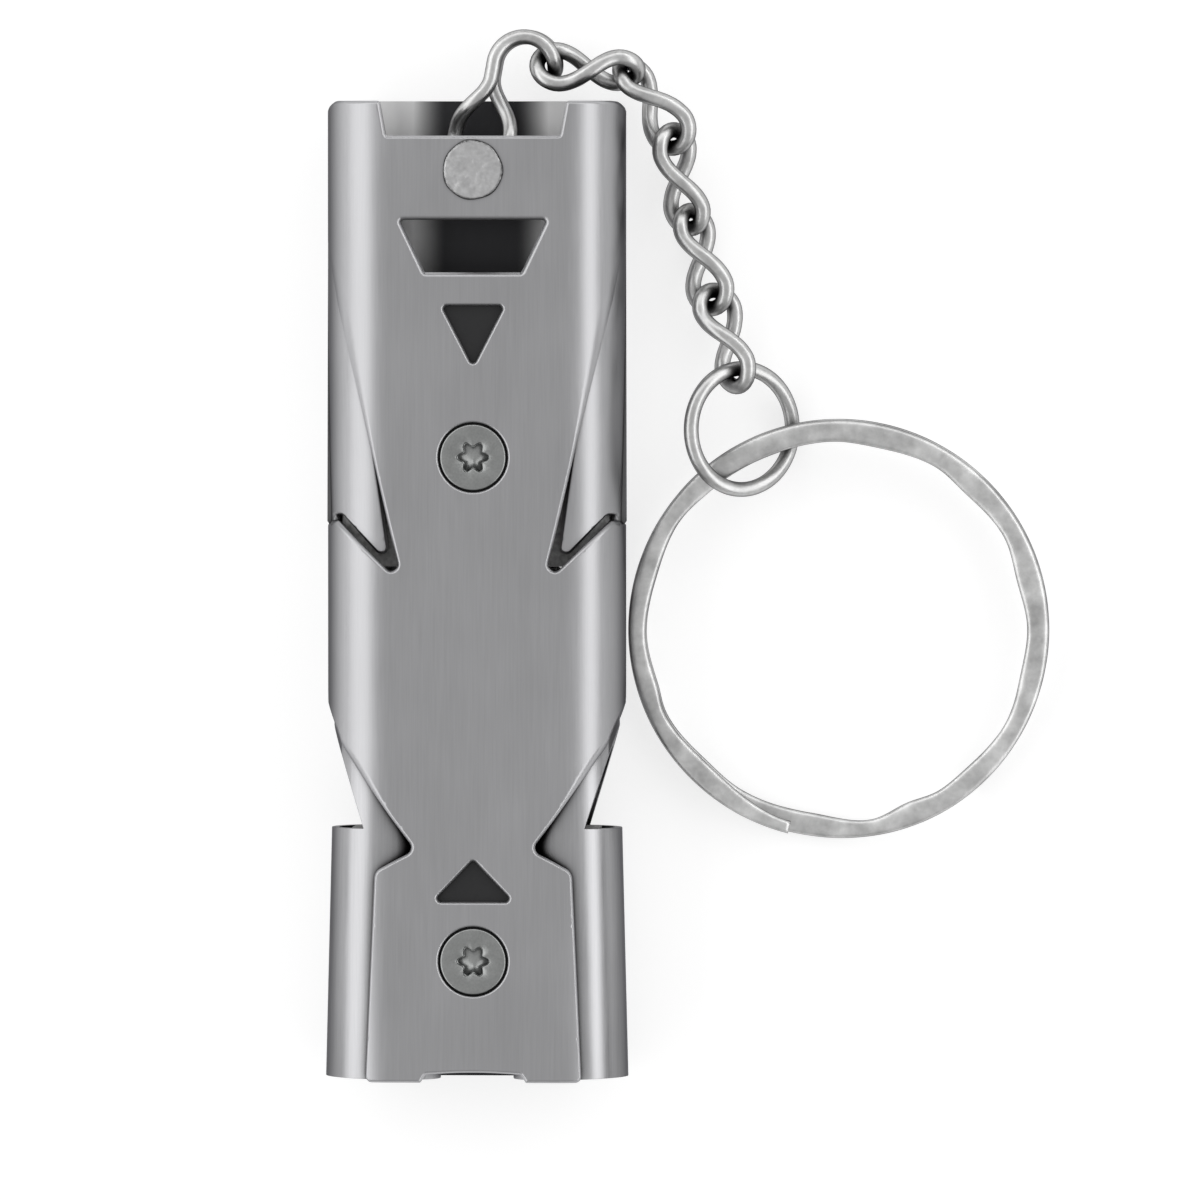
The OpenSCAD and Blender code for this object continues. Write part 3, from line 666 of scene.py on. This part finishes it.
def screw_object(name, y):
    """Countersunk screw with a six-lobe recess; the recess has a peaked floor, pressed a little askew."""
    top = BODY_THICK - SCREW_SUNK

    def recess_floor(across, along):
        right, ahead = across - RECESS_PEAK[0], along - RECESS_PEAK[1]
        fall = RECESS_FALL + RECESS_FALL_WAVE * math.cos(math.atan2(ahead, right) - RECESS_STEEPEST)
        return top - RECESS_PEAK_DEPTH - fall * math.hypot(right, ahead)

    rows = [
        (constant(SCREW_TIP_R), constant(SCREW_TIP_Z)),
        (constant(SCREW_R), constant(SCREW_TIP_Z + SCREW_TIP_H)),
        (constant(SCREW_R), constant(BODY_THICK - SCREW_CONE_H)),
        (constant(SCREW_HEAD_R), constant(BODY_THICK - SCREW_RIM_H)),
    ]
    rows += [(constant(SCREW_HEAD_R - inset), constant(top - drop)) for inset, drop in SCREW_EDGE]
    rows += [
        (constant(RECESS_LAND_R), constant(top)),
        (star(RECESS_TOP), constant(top)),
        (star(1.0), constant(top - RECESS_WALL)),
    ]
    rows += [(star(scale), recess_floor) for scale in RECESS_RINGS]
    return turned_object(name, (0, y), rows, SCREW_SIDES)


def rivet_object():
    """Rivet with a flat head, dented by hammer blows."""
    def dented(base, depth):
        def height(x, y):
            dents = [share * noise.noise(Vector((x * cells, y * cells, seed)))
                     for cells, seed, share in RIVET_DENTS]
            return base + depth * sum(dents)
        return height

    def uneven(r):
        return lambda a: r * (1 + sum(size * math.cos(n * a + phase) for size, n, phase in RIVET_WAVES))

    rows = [
        (constant(RIVET_R), constant(RIVET_SUNK)),
        (constant(RIVET_R), constant(BODY_THICK - RIVET_SUNK)),
        (uneven(RIVET_HEAD_R - RIVET_NECK), constant(BODY_THICK - RIVET_SUNK)),
    ]
    for inset, rise, depth in RIVET_EDGE:
        rows.append((uneven(RIVET_HEAD_R - inset), dented(BODY_THICK + rise, depth)))
    for i in range(RIVET_RINGS):
        share = i / RIVET_RINGS
        r = (RIVET_HEAD_R - RIVET_TOP_INSET) * (1 - share) + RIVET_TIP_R
        top = BODY_THICK + RIVET_DOME * (RIVET_RISE + RIVET_CROWN * math.sqrt(share))
        rows.append((uneven(r), dented(top, RIVET_DENT)))
    return turned_object("hammered_rivet", (0, RIVET_Y), rows, RIVET_SIDES)


# materials

NOISE_SHIFT = (1, 0.7, 1.3)
NOISE_ROUGHNESS = 0.55
AO_SAMPLES = 12


class Graph:
    """Node graph of one material, with short ways to add what this scene needs."""

    def __init__(self, name):
        self.material = bpy.data.materials.new(name)
        self.material.use_nodes = True
        self.tree = self.material.node_tree
        self.shader = self.tree.nodes["Principled BSDF"]

    def add(self, kind, **settings):
        """New node with its settings."""
        node = self.tree.nodes.new(kind)
        for key, value in settings.items():
            setattr(node, key, value)
        return node

    def put(self, socket, value):
        """Links a socket into an input, or sets the input to a constant."""
        if isinstance(value, bpy.types.NodeSocket):
            self.tree.links.new(value, socket)
        else:
            socket.default_value = value

    def shade(self, name, value):
        """Links or sets one input of the shader."""
        self.put(self.shader.inputs[name], value)

    def math(self, operation, first, second=0.0):
        """Result of one sum on sockets or constants."""
        node = self.add("ShaderNodeMath", operation=operation)
        self.put(node.inputs[0], first)
        self.put(node.inputs[1], second)
        return node.outputs["Value"]

    def split(self, coordinate):
        """X, Y and Z of one of the texture coordinates."""
        coordinates = self.add("ShaderNodeTexCoord")
        node = self.add("ShaderNodeSeparateXYZ")
        self.put(node.inputs["Vector"], coordinates.outputs[coordinate])
        return node.outputs["X"], node.outputs["Y"], node.outputs["Z"]

    def place(self):
        """X, Y and Z in the piece's own space."""
        return self.split("Object")

    def facing_up(self):
        """How far a surface faces up in the piece's own space, from -1 to 1."""
        return self.split("Normal")[2]

    def off_middle(self):
        """Distance from the whistle's middle plane."""
        return self.math("ABSOLUTE", self.place()[0])

    def noise(self, cell_mm, detail=3.0, offset=0.0):
        """Noise with cells of the given size along X, Y and Z."""
        coordinates = self.add("ShaderNodeTexCoord")
        mapping = self.add("ShaderNodeMapping")
        self.put(mapping.inputs["Scale"], [1 / (c * MM) for c in cell_mm])
        self.put(mapping.inputs["Location"], [offset * share for share in NOISE_SHIFT])
        self.put(mapping.inputs["Vector"], coordinates.outputs["Object"])
        cells = self.add("ShaderNodeTexNoise")
        self.put(cells.inputs["Scale"], 1.0)
        self.put(cells.inputs["Detail"], detail)
        self.put(cells.inputs["Roughness"], NOISE_ROUGHNESS)
        self.put(cells.inputs["Vector"], mapping.outputs["Vector"])
        return cells.outputs["Fac"]

    def spread(self, value, low, high, start=0.3, stop=0.7):
        """Value from start to stop, spread from low to high."""
        node = self.add("ShaderNodeMapRange")
        self.put(node.inputs["From Min"], start)
        self.put(node.inputs["From Max"], stop)
        self.put(node.inputs["To Min"], low)
        self.put(node.inputs["To Max"], high)
        self.put(node.inputs["Value"], value)
        return node.outputs["Result"]

    def blend(self, factor, first, second):
        """Colour between two colours or colour sockets."""
        node = self.add("ShaderNodeMix", data_type="RGBA")
        colours = [s for s in node.inputs if s.type == "RGBA"]
        for socket, colour in zip(colours, (first, second)):
            self.put(socket, (*colour, 1) if isinstance(colour, tuple) else colour)
        self.put(node.inputs["Factor"], factor)
        return next(s for s in node.outputs if s.type == "RGBA")

    def mottled(self, value, dark, light):
        """Colour from dark to light with a noise."""
        return self.blend(self.spread(value, 0.0, 1.0), dark, light)

    def paint_crevice_shade(self, reach_mm, strength, deep, shallow):
        """Painted shade that darkens the colour where other surfaces are near, standing in for occlusion."""
        node = self.add("ShaderNodeAmbientOcclusion", samples=AO_SAMPLES)
        self.put(node.inputs["Distance"], reach_mm * MM)
        return self.spread(node.outputs["AO"], strength, 0.0, deep, shallow)

    def relief(self, height, strength, depth_mm):
        """Fine relief from a noise."""
        node = self.add("ShaderNodeBump")
        self.put(node.inputs["Strength"], strength)
        self.put(node.inputs["Distance"], depth_mm * MM)
        self.put(node.inputs["Height"], height)
        self.shade("Normal", node.outputs["Normal"])


# near black of the painted shade: in narrow gaps and corners, towards the sides, in the lower notches and round
# the rivet
PAINTED_SHADE = (0.018, 0.017, 0.017)
EDGE_TINT = (0.3, 0.3, 0.31, 1)
# inside the rear half: painted shade in the middle and a painted reflection beside it
INNER_PAINTED_SHADE, INNER_PAINTED_SHEEN = (0.05, 0.05, 0.053), (0.95, 0.95, 0.95)
INNER_BELOW_Z, INNER_FACING = 2 * MM, 0.3
INNER_SHEEN_SPAN = (2.1 * MM, 4.1 * MM)
# painted shadow deep in the lower side notches of the pipes
NOTCH_SHADE = 0.92
NOTCH_SHADE_Y, NOTCH_SHADE_X = (2 * MM, 3 * MM), (4.1 * MM, 4.65 * MM)
# painted shade on the sides of the wire
WIRE_SIDE_SHADE, WIRE_SHADE_FACING = 0.7, (0.1, 0.75)
# painted light: the core is lighter where it shows in the side slits
SLIT_LIGHT_X = (3.6 * MM, 4.4 * MM)
# painted ring of shade round the rivet head
RIVET_SHADE_RING = (0.91 * RIVET_HEAD_R * MM, 0.97 * RIVET_HEAD_R * MM)
FLOOR_LIFT = 0.7


def metal(name, dark, light, rough, grain_mm, bump, patch_mm, patch_share, crevice_shade):
    """Grained metal: grain in tone, gloss and relief, soft larger patches, painted shade in narrow gaps and
    corners.
    """
    graph = Graph(name)
    grain = graph.noise(grain_mm)
    patches = graph.noise(patch_mm, detail=2.0, offset=7.0)
    mixed = graph.math("ADD", graph.math("MULTIPLY", grain, 1 - patch_share),
                       graph.math("MULTIPLY", patches, patch_share))
    # painted shade: the colour goes to near black where other surfaces are near
    colour = graph.blend(graph.paint_crevice_shade(**crevice_shade), graph.mottled(mixed, dark, light), PAINTED_SHADE)
    graph.shade("Base Color", colour)
    graph.shade("Roughness", graph.spread(mixed, *rough))
    graph.shade("Specular Tint", EDGE_TINT)
    graph.shade("Metallic", 1.0)
    graph.relief(grain, **bump)
    return graph, colour


def shade_towards_sides(graph, colour, share, start_mm, stop_mm):
    """Colour with painted shade that darkens towards the two sides of the whistle."""
    sides = graph.spread(graph.off_middle(), 0.0, share, start_mm * MM, stop_mm * MM)
    return graph.blend(sides, colour, PAINTED_SHADE)


def pipe_steel():
    """Drawn steel, with painted shade towards the sides and a painted shadow deep in the lower side notches."""
    graph, colour = metal(
        "drawn_steel", dark=(0.42, 0.42, 0.43), light=(0.5, 0.5, 0.512), rough=(0.28, 0.35),
        grain_mm=(0.12, 4, 0.12), bump=dict(strength=0.1, depth_mm=0.008), patch_mm=(3, 8, 3),
        patch_share=0.4, crevice_shade=dict(reach_mm=1.6, strength=0.95, deep=0.58, shallow=0.95))
    colour = shade_towards_sides(graph, colour, share=0.5, start_mm=7.4, stop_mm=8.6)
    # painted shadow deep in the lower side notch
    off_notch = graph.math("ABSOLUTE", graph.math("SUBTRACT", graph.place()[1], NOTCH[1] * MM))
    near = graph.spread(off_notch, 1.0, 0.0, *NOTCH_SHADE_Y)
    deep = graph.spread(graph.off_middle(), NOTCH_SHADE, 0.0, *NOTCH_SHADE_X)
    graph.shade("Base Color", graph.blend(graph.math("MULTIPLY", near, deep), colour, PAINTED_SHADE))
    return graph.material


def shell_steel():
    """Brushed steel with painted shade towards the sides; inside, the rear half has painted shade in the middle
    and a painted reflection beside it.
    """
    graph, colour = metal(
        "brushed_steel", dark=(0.43, 0.43, 0.44), light=(0.49, 0.49, 0.502), rough=(0.33, 0.4),
        grain_mm=(0.08, 3.5, 0.08), bump=dict(strength=0.12, depth_mm=0.008), patch_mm=(4, 8, 4),
        patch_share=0.45, crevice_shade=dict(reach_mm=0.9, strength=0.92, deep=0.4, shallow=0.88))
    colour = shade_towards_sides(graph, colour, share=0.6, start_mm=7.8, stop_mm=8.9)
    # painted shade and painted reflection on the inside face of the rear half
    low = graph.math("LESS_THAN", graph.place()[2], INNER_BELOW_Z)
    inside = graph.math("MULTIPLY", low, graph.math("GREATER_THAN", graph.facing_up(), INNER_FACING))
    painted_sheen = graph.math("POWER", graph.spread(graph.off_middle(), 0.0, 1.0, *INNER_SHEEN_SPAN), 2.0)
    inner = graph.blend(painted_sheen, INNER_PAINTED_SHADE, INNER_PAINTED_SHEEN)
    graph.shade("Base Color", graph.blend(inside, colour, inner))
    return graph.material


def fastener_steel():
    """Turned steel with a green-grey cast."""
    graph, _ = metal(
        "turned_steel", dark=(0.305, 0.313, 0.309), light=(0.39, 0.398, 0.394), rough=(0.3, 0.4),
        grain_mm=(0.12, 0.12, 0.12), bump=dict(strength=0.25, depth_mm=0.012), patch_mm=(0.8, 0.8, 0.8),
        patch_share=0.4, crevice_shade=dict(reach_mm=0.15, strength=0.5, deep=0.3, shallow=0.7))
    return graph.material


def rivet_metal():
    """Hammered aluminium with a painted ring of shade round the head, broken up by a noise."""
    graph, colour = metal(
        "hammered_aluminium", dark=(0.5, 0.5, 0.504), light=(0.7, 0.7, 0.704), rough=(0.36, 0.46),
        grain_mm=(0.3, 0.3, 0.3), bump=dict(strength=0.6, depth_mm=0.05), patch_mm=(0.7, 0.7, 0.7),
        patch_share=0.5, crevice_shade=dict(reach_mm=0.3, strength=0.9, deep=0.4, shallow=0.88))
    x, y, _ = graph.place()
    away = graph.math("SUBTRACT", y, RIVET_Y * MM)
    square = graph.math("ADD", graph.math("MULTIPLY", x, x), graph.math("MULTIPLY", away, away))
    # painted ring of shade round the head
    line = graph.spread(graph.math("SQRT", square), 0.0, 1.0, *RIVET_SHADE_RING)
    broken = graph.spread(graph.noise((0.16, 0.16, 0.16), detail=2.0, offset=3.0), 0.45, 1.0)
    graph.shade("Base Color", graph.blend(graph.math("MULTIPLY", line, broken), colour, PAINTED_SHADE))
    return graph.material


def wire_metal(name, light, rough, patch_mm, patch_share, crevice_shade):
    """Plated wire, with painted shade darkening its sides."""
    graph, colour = metal(
        name, dark=(0.5, 0.5, 0.497), light=light, rough=rough, grain_mm=(0.3, 0.3, 0.3),
        bump=dict(strength=0.12, depth_mm=0.01), patch_mm=patch_mm, patch_share=patch_share, crevice_shade=crevice_shade)
    # painted shade on the sides, where the wire faces away from up
    sides = graph.spread(graph.math("ABSOLUTE", graph.facing_up()), WIRE_SIDE_SHADE, 0.0, *WIRE_SHADE_FACING)
    graph.shade("Base Color", graph.blend(sides, colour, PAINTED_SHADE))
    return graph.material


def chain_metal():
    """Nickel plated round wire."""
    return wire_metal(
        "nickel_wire", light=(0.74, 0.74, 0.736), rough=(0.3, 0.4), patch_mm=(1.5, 1.5, 1.5), patch_share=0.6,
        crevice_shade=dict(reach_mm=0.8, strength=0.95, deep=0.4, shallow=0.9))


def ring_metal():
    """Nickel plated flat wire with hammered patches."""
    return wire_metal(
        "hammered_nickel", light=(0.9, 0.9, 0.895), rough=(0.34, 0.46), patch_mm=(1.8, 1.8, 1.8),
        patch_share=0.75, crevice_shade=dict(reach_mm=0.4, strength=0.9, deep=0.4, shallow=0.85))


def core_plastic():
    """Black plastic, painted lighter at the sides where it shows in the slits, standing in for light there."""
    graph = Graph("black_plastic")
    grain = graph.noise((0.3, 0.3, 0.3))
    black = graph.mottled(grain, (0.005, 0.005, 0.006), (0.012, 0.012, 0.013))
    slit_light = graph.mottled(grain, (0.2, 0.2, 0.2), (0.4, 0.4, 0.4))
    # painted light in the side slits
    at_side = graph.spread(graph.off_middle(), 0.0, 1.0, *SLIT_LIGHT_X)
    graph.shade("Base Color", graph.blend(at_side, black, slit_light))
    graph.shade("Roughness", graph.spread(grain, 0.55, 0.75))
    return graph.material


def floor_material():
    """Pale floor that looks white to the eye and in the metal, and still takes the shadow."""
    graph = Graph("pale_floor")
    grain = graph.noise((40, 40, 40))
    graph.shade("Base Color", graph.mottled(grain, (0.41, 0.41, 0.41), (0.43, 0.43, 0.43)))
    graph.shade("Roughness", 1.0)
    graph.shade("Specular IOR Level", 0.0)
    rays = graph.add("ShaderNodeLightPath").outputs
    seen = graph.math("ADD", rays["Is Camera Ray"], rays["Is Glossy Ray"])
    seen = graph.math("ADD", seen, rays["Is Transmission Ray"])
    graph.shade("Emission Color", (1, 1, 1, 1))
    graph.shade("Emission Strength", graph.math("MULTIPLY", seen, FLOOR_LIFT))
    return graph.material


MATERIALS = {
    "shell_steel": shell_steel(),
    "pipe_steel": pipe_steel(),
    "fastener_steel": fastener_steel(),
    "rivet_metal": rivet_metal(),
    "chain_metal": chain_metal(),
    "ring_metal": ring_metal(),
    "core_plastic": core_plastic(),
}

SLOT_NODES = {
    "shell_steel": ["front_shell", "rear_shell"],
    "pipe_steel": ["left_pipe", "right_pipe"],
    "fastener_steel": ["upper_post", "lower_post", "upper_screw", "lower_screw"],
    "rivet_metal": ["chain_rivet"],
    "chain_metal": ["hook_link", "jump_ring"] + [f"chain_link_{k + 1}" for k in range(LINK_COUNT)],
    "ring_metal": ["split_ring"],
    "core_plastic": ["core_spacer", "left_fipple_plug", "right_fipple_plug", "left_end_stopper",
                     "right_end_stopper"],
}


# pieces in their places

PIPE_EDGE = 0.07
PIPE_WELD = 0.001
EDGE_SEGMENTS = 3
EDGE_ANGLE, FLAT_ANGLE = math.radians(40), math.radians(0.4)


def coat(made, slot):
    """Gives a piece the material of its slot."""
    made.data.materials.clear()
    made.data.materials.append(MATERIALS[slot])


def coat_frame():
    """Gives every CAD node its material."""
    for slot, names in SLOT_NODES.items():
        for name in names:
            coat(NODES[name], slot)


def stand_in(made, body, node, slot):
    """Puts a finished piece in the place of a CAD node."""
    coat(made, slot)
    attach(made, body)
    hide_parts(node)


def soften_edges(made, width):
    """Rounds the sharp edges of a CAD node without touching its mesh."""
    weld = made.modifiers.new("weld", "WELD")
    weld.merge_threshold = PIPE_WELD * MM
    flat = made.modifiers.new("flat", "DECIMATE")
    flat.decimate_type = "DISSOLVE"
    flat.angle_limit = FLAT_ANGLE
    bevel = made.modifiers.new("bevel", "BEVEL")
    bevel.limit_method = "ANGLE"
    bevel.angle_limit = EDGE_ANGLE
    bevel.width = width * MM
    bevel.segments = EDGE_SEGMENTS
    normals = made.modifiers.new("normals", "WEIGHTED_NORMAL")
    normals.keep_sharp = False


def build_sleeve():
    """Pipes with soft edges between the two stamped halves."""
    for name in SLOT_NODES["pipe_steel"]:
        soften_edges(NODES[name], PIPE_EDGE)
    stand_in(stamped_half("stamped_front", front_holes(), True), "whistle", "front_shell", "shell_steel")
    stand_in(stamped_half("stamped_rear", rear_holes(), False), "whistle", "rear_shell", "shell_steel")


def build_chain():
    """Hook link, twisted links, jump ring and split ring, each on its own body."""
    starts = link_starts()
    stand_in(wire_object("hook_wire", hook_path(), HOOK_WIRE / 2), "hook", "hook_link", "chain_metal")
    for k in range(LINK_COUNT):
        link_wire = wire_object(f"link_wire_{k + 1}", link_path(k, starts[k]), LINK_WIRE / 2)
        stand_in(link_wire, f"link_{k + 1}", f"chain_link_{k + 1}", "chain_metal")
    jump_wire = wire_object("jump_wire", jump_path(starts[-1]), JUMP_WIRE / 2, JUMP_SIDES)
    stand_in(jump_wire, "jump", "jump_ring", "chain_metal")
    stand_in(split_ring_object(), "ring", "split_ring", "ring_metal")


def build_fasteners():
    """Rivet and screws."""
    stand_in(rivet_object(), "whistle", "chain_rivet", "rivet_metal")
    for name, y in SCREW_Y.items():
        stand_in(screw_object(f"lobed_{name}", y), "whistle", name, "fastener_steel")


# stage, light and camera, with the lights and the camera's distance in metres

FLOOR_HALF, FLOOR_Z = 3000, -0.02
SKY_LOW, SKY_HIGH, SKY_TOP_Z = 0.28, 0.57, 0.8
LIGHT_DISTANCE = 0.6
CAMERA_TARGET = Vector((7.65, -0.45, 8.2)) * MM
CAMERA_LEAN = (math.radians(3.2), math.radians(1.6))
CAMERA_DISTANCE, VIEW_WIDTH = 0.9, 0.072
SENSOR_MM = 36
CLIP_NEAR, CLIP_FAR = 0.05, 20


def build_floor():
    """Large flat floor just under the whistle."""
    signs = [(-1, -1), (1, -1), (1, 1), (-1, 1)]
    corners = [(x * FLOOR_HALF, y * FLOOR_HALF, FLOOR_Z) for x, y in signs]
    made = mesh_object("floor", corners, [(0, 1, 2, 3)], smooth=False)
    made.data.materials.append(floor_material())


def build_world():
    """Grey studio, darker towards the horizon."""
    world = bpy.data.worlds.new("studio")
    bpy.context.scene.world = world
    world.use_nodes = True
    tree = world.node_tree
    sky = tree.nodes["Background"]
    place = tree.nodes.new("ShaderNodeTexCoord")
    split = tree.nodes.new("ShaderNodeSeparateXYZ")
    ramp = tree.nodes.new("ShaderNodeMapRange")
    ramp.inputs["From Min"].default_value = 0.0
    ramp.inputs["From Max"].default_value = SKY_TOP_Z
    ramp.inputs["To Min"].default_value = SKY_LOW
    ramp.inputs["To Max"].default_value = SKY_HIGH
    tree.links.new(place.outputs["Generated"], split.inputs["Vector"])
    tree.links.new(split.outputs["Z"], ramp.inputs["Value"])
    tree.links.new(ramp.outputs["Result"], sky.inputs["Strength"])
    sky.inputs["Color"].default_value = (1, 1, 1, 1)


def softbox(name, polar_deg, azimuth_deg, length, width, radiance):
    """Area light at an angle from straight up; azimuth 0 is to the right and 90 to the chain end."""
    data = bpy.data.lights.new(name, "AREA")
    data.shape = "RECTANGLE"
    data.size = length
    data.size_y = width
    data.energy = radiance * math.pi * length * width
    made = bpy.data.objects.new(name, data)
    bpy.context.scene.collection.objects.link(made)
    polar, azimuth = math.radians(polar_deg), math.radians(azimuth_deg)
    flat = Vector((math.cos(azimuth), math.sin(azimuth), 0))
    out = math.sin(polar) * flat + math.cos(polar) * UP
    side = UP.cross(flat)
    turned = Matrix((side, out.cross(side), out)).transposed().to_4x4()
    made.matrix_world = Matrix.Translation(out * LIGHT_DISTANCE) @ turned
    made.visible_camera = False


def build_lights():
    """Three softboxes: a broad one on the left, a narrow one on the right, one beyond the chain end."""
    softbox("left_softbox", polar_deg=61, azimuth_deg=180, length=1.2, width=0.5, radiance=1.25)
    softbox("right_softbox", polar_deg=60, azimuth_deg=0, length=1.2, width=0.28, radiance=1.6)
    softbox("top_softbox", polar_deg=60, azimuth_deg=90, length=1.0, width=0.3, radiance=1.1)


def build_camera():
    """Long lens over the front face, leaning a little to the right and up."""
    back = Vector((math.tan(CAMERA_LEAN[0]), math.tan(CAMERA_LEAN[1]), 1)).normalized()
    right = Vector((0, 1, 0)).cross(back).normalized()
    up = back.cross(right)
    data = bpy.data.cameras.new("camera")
    data.sensor_width = SENSOR_MM
    data.lens = SENSOR_MM * CAMERA_DISTANCE / VIEW_WIDTH
    data.clip_start, data.clip_end = CLIP_NEAR, CLIP_FAR
    made = bpy.data.objects.new("camera", data)
    bpy.context.scene.collection.objects.link(made)
    turned = Matrix((right, up, back)).transposed().to_4x4()
    made.matrix_world = Matrix.Translation(CAMERA_TARGET + back * CAMERA_DISTANCE) @ turned
    bpy.context.scene.camera = made


coat_frame()
build_sleeve()
build_chain()
build_fasteners()
build_floor()
build_world()
build_lights()
build_camera()
bpy.context.scene.view_settings.view_transform = "Standard"
